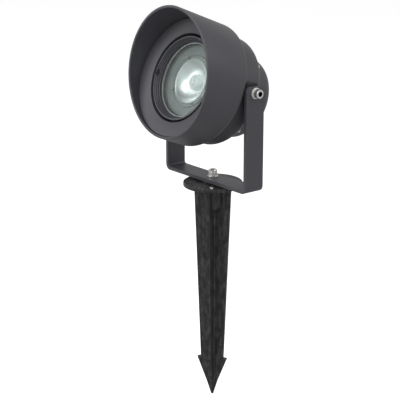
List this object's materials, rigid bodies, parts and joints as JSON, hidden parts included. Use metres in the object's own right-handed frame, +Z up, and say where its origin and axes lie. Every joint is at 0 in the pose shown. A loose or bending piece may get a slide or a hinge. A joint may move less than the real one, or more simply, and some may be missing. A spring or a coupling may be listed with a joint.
{
  "type": "projector stake light",
  "caption": "Garden spotlight with a slanted glare hood, held in a U-shaped yoke on a barbed cross-section ground spike.",
  "frame": {"origin": "centre of the spike flange's underside, where the ground comes to", "axes": "+Z up along the spike's axis, X along the tilt pivot, the light faces -Y tilted up 21.8 degrees"},
  "size_m": [0.1598, 0.1406, 0.4713],
  "materials": {
    "grey_powder_coat": "dark grey powder coat, fine semi-gloss",
    "grey_coated_aluminium": "die-cast aluminium under a dark grey powder coat, fine semi-gloss",
    "blackened_steel": "black-oxide steel screws",
    "black_moulded_plastic": "black moulded polyamide with flow marks",
    "black_nylon": "satin black nylon",
    "white_nylon": "natural nylon",
    "stainless_steel": "turned stainless steel",
    "brass_insert": "turned brass",
    "black_rubber": "silicone rubber",
    "tempered_glass": "clear tempered glass with a green tint at its edge",
    "bare_aluminium": "white-masked aluminium board",
    "led_phosphor": "yellow phosphor under silicone",
    "clear_lens": "frosted moulded lens",
    "metallised_reflector": "vacuum-metallised satin bowl",
    "pale_plate": "pale grey satin plate",
    "potted_driver": "potting resin in a black case",
    "red_lead": "silicone-sleeved lead"
  },
  "bodies": {
    "spike": {"stake": "black_moulded_plastic", "threaded_insert": "brass_insert", "flange_screws": "stainless_steel", "yoke_pad": "black_nylon", "stake_washer": "stainless_steel", "stake_spring_washer": "stainless_steel", "stake_bolt": "stainless_steel"},
    "yoke": {"yoke": "grey_powder_coat"},
    "lamp": {"pivot_screws": "stainless_steel", "pivot_spring_washers": "stainless_steel", "pivot_flat_washers": "stainless_steel", "friction_washers": "black_nylon", "neck_ring": "grey_coated_aluminium", "hood": "grey_coated_aluminium", "hood_gasket": "black_rubber", "front_drum": "grey_coated_aluminium", "stack_screws": "stainless_steel", "glass_gasket": "black_rubber", "front_glass": "tempered_glass", "bezel_ring": "grey_coated_aluminium", "bezel_screws": "blackened_steel", "led_board": "bare_aluminium", "board_screws": "stainless_steel", "led_chip": "led_phosphor", "led_lens": "clear_lens", "reflector": "metallised_reflector", "reflector_screws": "blackened_steel", "optic_plate": "pale_plate", "driver": "potted_driver", "driver_screws": "stainless_steel", "terminal_block": "white_nylon", "led_leads": "red_lead", "rear_gasket": "black_rubber", "rear_cover": "grey_coated_aluminium", "rear_cover_screws": "stainless_steel", "gland_body": "black_nylon", "gland_locknut": "black_nylon", "gland_seal": "black_rubber", "gland_nut": "black_nylon"}
  },
  "joints": [
    {"name": "yoke_pan", "type": "hinge", "parent": "spike", "child": "yoke", "pos_m": [0, 0, 0.0065], "axis": [0, 0, 1], "continuous": true},
    {"name": "lamp_tilt", "type": "hinge", "parent": "yoke", "child": "lamp", "pos_m": [0, 0, 0.1189], "axis": [-1, 0, 0], "range_deg": [-21, 156]}
  ]
}
